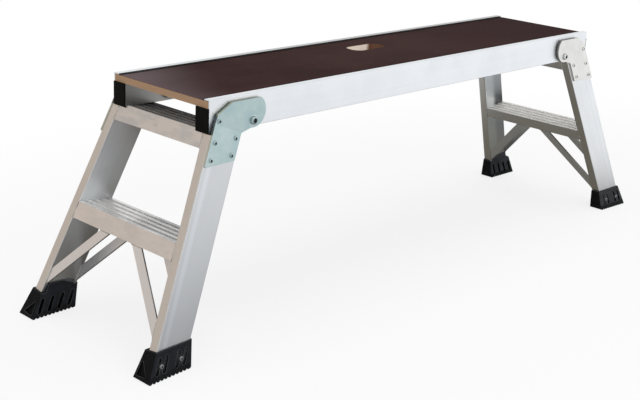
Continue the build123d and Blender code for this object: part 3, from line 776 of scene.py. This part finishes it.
pale_dull = (0.80, 0.835, 0.87)
pale_bright = (0.875, 0.90, 0.93)
grey_dull = (0.70, 0.715, 0.735)
grey_bright = (0.79, 0.80, 0.815)
leg_dull = (0.765, 0.785, 0.812)
leg_bright = (0.85, 0.868, 0.89)
leg_run = Vector((abs(leg_down.x), abs(leg_down.y), leg_down.z))
brace_run = Vector((0.29, 0.68, -0.67)).normalized()
fastener_finish = zinc_fastener("worn_zinc_plated_steel", worn_zinc)
hinge_fastener_finish = zinc_fastener("zinc_plated_steel", plating_film, centre_grime_and_shade)
weld_finish = weld_metal()
stem_and_socket_shade_finish = dark_steel_and_socket_shade()
lower_tread_finish = tread_aluminium("tread_aluminium", soil_and_shade=0.035, trodden=0.17)
# The top treads are soiled all over as painted shade below the deck
top_tread_finish = tread_aluminium("sheltered_tread_aluminium", soil_and_shade=1.0, trodden=0.0)
node_finishes = {
    "board": film_faced_plywood(),
    "rail": aluminium("rail_aluminium", along_deck, pale_dull, pale_bright, rail_marks),
    "bearer": aluminium("bearer_aluminium", across, grey_dull, grey_bright),
    "leg": aluminium("leg_aluminium", leg_run, leg_dull, leg_bright, leg_marks),
    "brace": aluminium("brace_aluminium", brace_run, leg_bright, pale_bright, brace_marks),
    "plate": zinc_plate(),
    "cap": black_plastic(),
    "foot": black_rubber(),
    "rivets": hinge_fastener_finish,
    "studs": hinge_fastener_finish,
    "pivot_bolts": hinge_fastener_finish,
}


def node_finish(name):
    """Finish of a CAD node, by its name or the last words of it."""
    if name.endswith("top_tread"):
        return top_tread_finish
    if name.endswith("lower_tread"):
        return lower_tread_finish
    word = name.split("_")[-1]
    return node_finishes.get(name) or node_finishes.get(word, fastener_finish)


for name, node in nodes.items():
    for slot in node.material_slots:
        slot.material = node_finish(name)

# Fine pieces that the CAD model leaves out


def piece(name, form, finish, body):
    """Makes a finished shape a piece that moves with a body."""
    bmesh.ops.recalc_face_normals(form, faces=form.faces)
    mesh = bpy.data.meshes.new(name)
    form.to_mesh(mesh)
    form.free()
    mesh.materials.append(finish)
    made = bpy.data.objects.new(name, mesh)
    bpy.context.scene.collection.objects.link(made)
    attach(made, body)
    return made


def add_shape(form, shape, place):
    """Adds a copy of a shape to a piece at a place."""
    copy = bpy.data.meshes.new("copy")
    shape.to_mesh(copy)
    copy.transform(place)
    form.from_mesh(copy)
    bpy.data.meshes.remove(copy)


def at_corner(spot, end, side):
    """A spot or direction of the left front corner, mirrored to another end or side by -1."""
    return Vector((spot.x * end, spot.y * side, spot.z))


def standing(spot, out):
    """Place whose Z axis points out of a surface at a spot."""
    return Matrix.Translation(spot) @ out.to_track_quat("Z", "Y").to_matrix().to_4x4()


def leg_spot(width, down, rise):
    """Spot on the left front leg: across it, down it, and out from its wide face."""
    return leg_corner + inward * width + leg_down * down - leg_inside * rise


def leg_down_to(width, height):
    """How far down the leg a height is reached, at a width across it."""
    return (rail_bottom - height - width * sin(lean)) / (cos(lean) * cos(splay))


def rivet_stem():
    """Broken end of a blind rivet's pin: a short stub with a torn, dished top."""
    radius = rivet_hollow_radius * 0.86
    rise = 0.0009
    rim_width = radius * 0.25
    rim_rise = 0.0002
    dish_width = radius * 0.3
    dish_depth = 0.0005
    form = bmesh.new()
    bmesh.ops.create_cone(form, cap_ends=True, segments=14, radius1=radius, radius2=radius, depth=rise)
    bmesh.ops.translate(form, vec=(0, 0, rise / 2), verts=form.verts)
    top = [face for face in form.faces if face.normal.z > 0.9]
    bmesh.ops.inset_region(form, faces=top, thickness=rim_width, depth=rim_rise)
    bmesh.ops.inset_region(form, faces=top, thickness=dish_width, depth=-dish_depth)
    return form


def socket_collar(radius, depth):
    """Ring with a round outside and a hexagon inside, which makes a round recess a hex socket."""
    hexagon_radius = radius * 0.92
    form = bmesh.new()
    bmesh.ops.create_circle(form, segments=24, radius=radius)
    hexagon = bmesh.ops.create_circle(form, segments=6, radius=hexagon_radius)["verts"]
    sides = [edge for edge in form.edges if edge.verts[0] in hexagon]
    bmesh.ops.subdivide_edges(form, edges=sides, cuts=3)
    bmesh.ops.bridge_loops(form, edges=form.edges[:])
    walls = bmesh.ops.extrude_face_region(form, geom=form.faces[:])["geom"]
    lowered = [part for part in walls if isinstance(part, bmesh.types.BMVert)]
    bmesh.ops.translate(form, vec=(0, 0, -depth), verts=lowered)
    # Extruding leaves the walls in another order each run, so the faces are sorted by their corners
    form.verts.index_update()
    ordered = sorted(form.faces, key=lambda face: sorted(vert.index for vert in face.verts))
    for number, face in enumerate(ordered):
        face.index = number
    form.faces.sort()
    return form


def weld_bead(length):
    """Rippled bead along Z, its crown towards Y, with the crescents that each dip of filler leaves."""
    swell = (0.88, 1.0, 0.95)
    end_girth = 0.5
    flatness = 0.8
    crescent_share = 0.4
    ripples = max(3, round(length / bead_pitch))
    rings = ripples * len(swell)
    form = bmesh.new()
    bmesh.ops.create_cone(
        form, cap_ends=True, segments=10, radius1=bead_radius, radius2=bead_radius, depth=length,
    )
    runs = [edge for edge in form.edges if abs(edge.verts[0].co.z - edge.verts[1].co.z) > length / 2]
    bmesh.ops.subdivide_edges(form, edges=runs, cuts=rings - 1, use_grid_fill=True)
    for vert in form.verts:
        ring = round((vert.co.z / length + 0.5) * rings)
        girth = end_girth if ring in (0, rings) else swell[ring % len(swell)]
        crown = 1 - (vert.co.x / bead_radius) ** 2
        vert.co.x *= girth
        vert.co.y *= girth * flatness
        vert.co.z += crown * bead_pitch * crescent_share
    return form


def add_bead(form, start, end, out):
    """Adds a weld bead between two spots, with its crown facing out."""
    along = (end - start).normalized()
    beside = out.cross(along).normalized()
    turn = Matrix((beside, along.cross(beside), along)).transposed()
    shape = weld_bead((end - start).length)
    add_shape(form, shape, Matrix.Translation((start + end) / 2) @ turn.to_4x4())
    shape.free()


def frame_spot(width, rise, side_step):
    """Spot in the left frame: across the legs, up the frame from the rails, and across the deck."""
    start = Vector((-deck_half_length, 0, rail_bottom))
    return start + inward * width - frame_down * rise + across * side_step


def leg_inner_face(rise):
    """Where the front leg's inner face is across the deck, at a rise up the frame."""
    return (leg_thickness + rise * sin(splay)) / cos(splay) + leg_corner.y


def tread_seams():
    """Butt seams of the treads' skirts against the front leg."""
    sunk = 0.0007
    seams = []
    for front, notch in ((lower_tread_front, lower_tread_front), (top_tread_front, top_tread_notch)):
        for width, top, skirt, out in (
            (sunk, notch, front - front_skirt, -inward),
            (leg_width - sunk, front + tread_rise, front + tread_rise - rear_skirt, inward),
        ):
            ends = [frame_spot(width, rise, leg_inner_face(rise) - sunk) for rise in (top, skirt)]
            seams.append((*ends, out))
    return seams


def brace_seams():
    """Seams of the front leg's braces: under the skirt, and both faces on the leg."""
    out_from_face = 0.0006
    below_skirt = 0.0004
    half_level = brace_width / 2 / sin(brace_angle)
    slope = 1 / tan(brace_angle)
    lower_tread_rear = lower_tread_front + tread_rise
    seams = []
    for depth, skirt, start, way in (
        (tread_wall, lower_tread_front - front_skirt, outer_brace_start, -1),
        (leg_width - tread_wall, lower_tread_rear - rear_skirt, inner_brace_start, 1),
    ):
        level = []
        rises = []
        for reach in (-half_level, half_level):
            level.append(frame_spot(depth + way * out_from_face, skirt - below_skirt, reach - start))
            run = leg_thickness / cos(splay) + leg_corner.y + start - reach + skirt * slope
            rises.append(run / (slope - tan(splay)))
        seams.append((*level, inward * way + frame_down))
        for face, out in ((depth, way), (depth - way * brace_thickness, -way)):
            on_leg = [frame_spot(face, rise, leg_inner_face(rise)) for rise in rises]
            seams.append((*on_leg, inward * out + across))
    return seams


for end_name, end in (("left", 1), ("right", -1)):
    body = end_name + "_frame"
    welds = bmesh.new()
    stems = bmesh.new()
    sockets = bmesh.new()
    stem = rivet_stem()
    foot_socket = socket_collar(foot_bolt_drive_radius, foot_bolt_drive_depth - collar_sunk)
    stud_socket = socket_collar(stud_drive_radius, stud_drive_depth - stud_collar_sunk)
    for side in (1, -1):
        for seam in tread_seams() + brace_seams():
            start, stop, out = (at_corner(part, end, side) for part in seam)
            add_bead(welds, start, stop, out)
        leg_out = at_corner(-leg_inside, end, side)
        for width in rivet_edges:
            for row in rivet_rows:
                down = leg_down_to(width, rail_bottom - row)
                spot = leg_spot(width, down, plate_thickness + rivet_hollow_floor)
                add_shape(stems, stem, standing(at_corner(spot, end, side), leg_out))
        for width in foot_bolt_edges:
            down = leg_down_to(width, foot_bolt_height)
            spot = leg_spot(width, down, foot_bolt_head_top - collar_sunk)
            add_shape(sockets, foot_socket, standing(at_corner(spot, end, side), leg_out))
        side_out = Vector((0, -side, 0))
        stud_top = stud_collar_sunk - stud_head_top
        stud = Vector((stud_from_end - deck_half_length, stud_top, rail_bottom + stud_rise))
        add_shape(sockets, stud_socket, standing(at_corner(stud, end, side), side_out))
    for shape in (stem, foot_socket, stud_socket):
        shape.free()
    bead_piece = piece(end_name + "_weld_beads", welds, weld_finish, body)
    bead_piece.data.shade_smooth()
    piece(end_name + "_rivet_stems", stems, stem_and_socket_shade_finish, body)
    # The hex sockets take the dark finish as painted shade
    piece(end_name + "_hex_sockets", sockets, stem_and_socket_shade_finish, body)

pivot_sockets = bmesh.new()
pivot_socket = socket_collar(pivot_drive_radius, pivot_drive_depth - collar_sunk)
for end in (1, -1):
    for side in (1, -1):
        side_out = Vector((0, -side, 0))
        spot = Vector((-pivot.x, collar_sunk - pivot_head_top, pivot.z))
        add_shape(pivot_sockets, pivot_socket, standing(at_corner(spot, end, side), side_out))
pivot_socket.free()
# The hex sockets take the dark finish as painted shade
piece("pivot_hex_sockets", pivot_sockets, stem_and_socket_shade_finish, "deck")

# Floor, reflection cards, world and lamps
white = (1, 1, 1)
sky_grey = (0.56, 0.55, 0.535)


def stage_sheet(name, width, depth, place, finish):
    """Flat sheet of the studio, which isn't part of the trestle."""
    form = bmesh.new()
    bmesh.ops.create_grid(form, x_segments=1, y_segments=1, size=0.5)
    bmesh.ops.scale(form, vec=(width, depth, 1), verts=form.verts)
    bmesh.ops.transform(form, matrix=place, verts=form.verts)
    mesh = bpy.data.meshes.new(name)
    form.to_mesh(mesh)
    form.free()
    mesh.materials.append(finish)
    sheet = bpy.data.objects.new(name, mesh)
    bpy.context.scene.collection.objects.link(sheet)
    return sheet


def background_rays(start):
    """1 for rays from the camera and 0 for others, and the same for mirrored and for passed rays."""
    kinds = ("Is Camera Ray", "Is Glossy Ray", "Is Transmission Ray")
    return [start.node("ShaderNodeLightPath", {}, {}, kind) for kind in kinds]


def show_surface(place, shown):
    """Makes a shader the surface of its material."""
    output = place.tree.nodes["Material Output"]
    place.tree.links.new(shown.output, output.inputs["Surface"])


def floor_paint():
    """White floor with the trestle's shadow near it, and plain white to the camera and metal far off."""
    near_spread = (1 / 1.3, 1 / 0.8, 0)
    plain_share = 0.80
    material, shader, place = new_finish("floor_paint")
    seen, mirrored, passed = background_rays(place)
    far = ramp(length_of(place.vectors("MULTIPLY", place, near_spread)), 0.75, 1.9)
    dress(shader, Base_Color=(0.93, 0.93, 0.93, 1), Roughness=0.9, Specular_IOR_Level=0.0)
    glow = place.node("ShaderNodeEmission", {}, {"Color": (*white, 1), "Strength": 1.0})
    share = (seen + mirrored + passed) * (plain_share + far * (1 - plain_share))
    surface = Socket(place.tree, shader.outputs[0])
    show_surface(place, place.node("ShaderNodeMixShader", {}, {0: share, 1: surface, 2: glow}))
    return material


def reflection_card(name, width, height, place, colour_of):
    """Evenly lit card that only metal shows, whose colour may change over it."""
    material, _, spot = new_finish(name)
    show_surface(spot, spot.node("ShaderNodeEmission", {}, {"Color": colour_of(spot), "Strength": 1.0}))
    card = stage_sheet(name, width, height, place, material)
    card.visible_camera = False
    card.visible_diffuse = False
    card.visible_transmission = False
    card.visible_shadow = False


def upright(middle, turn):
    """Place of a card that stands on its edge, turned by degrees from facing the front."""
    turned = Matrix.Rotation(radians(turn), 4, "Z") @ Matrix.Rotation(pi / 2, 4, "X")
    return Matrix.Translation(middle) @ turned


def dark_floor(place):
    """Painted shadow below the deck, grey in front of its left end and behind it, and white to the right.
    """
    dark_middle = (0.5, 0, 0)
    dark_spread = (1 / 1.3, 1 / 0.40, 0)
    below_deck_shadow = (0.15, 0.14, 0.118)
    front_grey = (0.63, 0.64, 0.655)
    rear_grey = (0.62, 0.63, 0.645)
    centred = place.vectors("SUBTRACT", place, dark_middle)
    reach = length_of(place.vectors("MULTIPLY", centred, dark_spread))
    front = tint(ramp(axis_of(place, 0), 0.0, 0.7), front_grey, white)
    # Painted shadow below the deck, for metal to show
    grey = tint(ramp(reach, 0.7, 1.8), below_deck_shadow, front)
    lit = tint(ramp(reach, 1.8, 4.2) * ramp(axis_of(place, 0), -0.9, 0.4), grey, white)
    return tint(ramp(axis_of(place, 1), 0.3, 0.9) * 0.8, lit, rear_grey)


def warm_wall(place):
    """Beige, fading to white at its top."""
    return tint(ramp(axis_of(place, 2), 1.4, 2.8), (0.60, 0.507, 0.437), white)


def grey_wall(place):
    """Mid grey all over, with soft darker patches."""
    return tint(noise(place, scale=0.6), (0.40, 0.39, 0.375), sky_grey)


def dark_flag(place):
    """Dark bluish grey, lighter towards its top."""
    return tint(ramp(axis_of(place, 2), 0.1, 0.4), (0.10, 0.115, 0.13), (0.30, 0.325, 0.35))


just_above_floor = Matrix.Translation((0, 0, 0.0005))
stage_sheet("floor", 60, 60, Matrix.Identity(4), floor_paint())
reflection_card("floor_card", 5, 4, just_above_floor, dark_floor)
reflection_card("left_card", 4.2, 2.6, upright((-2.7, 1.9, 1.3), turn=47), warm_wall)
reflection_card("back_card", 4.6, 3.0, upright((-3.4, -3.1, 1.3), turn=-47), grey_wall)
reflection_card("front_card", 2.6, 2.6, upright((-0.8, -4.7, 1.2), turn=0), grey_wall)
reflection_card("flag", 0.2, 0.4, upright((1.10, -0.07, 0.2), turn=50), dark_flag)

# World: white to the camera, and grey to metal but for its low right side
sky_light = 0.45
world = bpy.data.worlds.new("studio")
bpy.context.scene.world = world
world.use_nodes = True
sky_tree = world.node_tree
outlook = Socket(sky_tree, sky_tree.nodes.new("ShaderNodeTexCoord").outputs["Generated"])
seen, mirrored, passed = background_rays(outlook)
low_right = ramp(axis_of(outlook, 0), -0.2, 0.3) * (1 - ramp(axis_of(outlook, 2), 0.55, 0.75))
dress(
    sky_tree.nodes["Background"],
    Color=tint(mirrored * (1 - low_right), white, sky_grey),
    Strength=sky_light + (seen + mirrored + passed) * (1 - sky_light),
)


def softbox(name, place, target, width, height, power, mirrored=True):
    """Soft lamp that points at a target. Metal shows it only if it is mirrored."""
    lamp = bpy.data.lights.new(name, "AREA")
    lamp.shape = "RECTANGLE"
    lamp.size = width
    lamp.size_y = height
    lamp.energy = power
    fixture = bpy.data.objects.new(name, lamp)
    fixture.location = place
    fixture.rotation_euler = (Vector(target) - Vector(place)).to_track_quat("-Z", "Y").to_euler()
    fixture.visible_glossy = mirrored
    bpy.context.scene.collection.objects.link(fixture)


softbox("overhead", (0, -0.3, 3.6), (0, 0, 0), width=4.0, height=3.0, power=62, mirrored=False)
softbox("front", (-0.6, -3.8, 2.2), (0, 0, 0.3), width=3.2, height=2.2, power=28)
softbox("left_end", (-4.0, 0.6, 1.9), (0, 0, 0.3), width=2.0, height=2.0, power=6)

# Camera at the photograph's angle
camera_place = Matrix.Translation((-2.1326, -1.8111, 1.0568))
camera_azimuth = radians(47.01)
camera_elevation = radians(18.42)
camera_roll = radians(2.89)
camera = bpy.data.objects.new("camera", bpy.data.cameras.new("camera"))
camera.data.sensor_width = 36
camera.data.lens = 66.29
camera.data.clip_end = 100
level_aim = Euler((pi / 2 - camera_elevation, 0, -camera_azimuth)).to_matrix()
aim = level_aim @ Matrix.Rotation(camera_roll, 3, "Z")
camera.matrix_world = camera_place @ aim.to_4x4()
bpy.context.scene.collection.objects.link(camera)
bpy.context.scene.camera = camera
bpy.context.scene.view_settings.view_transform = "Standard"
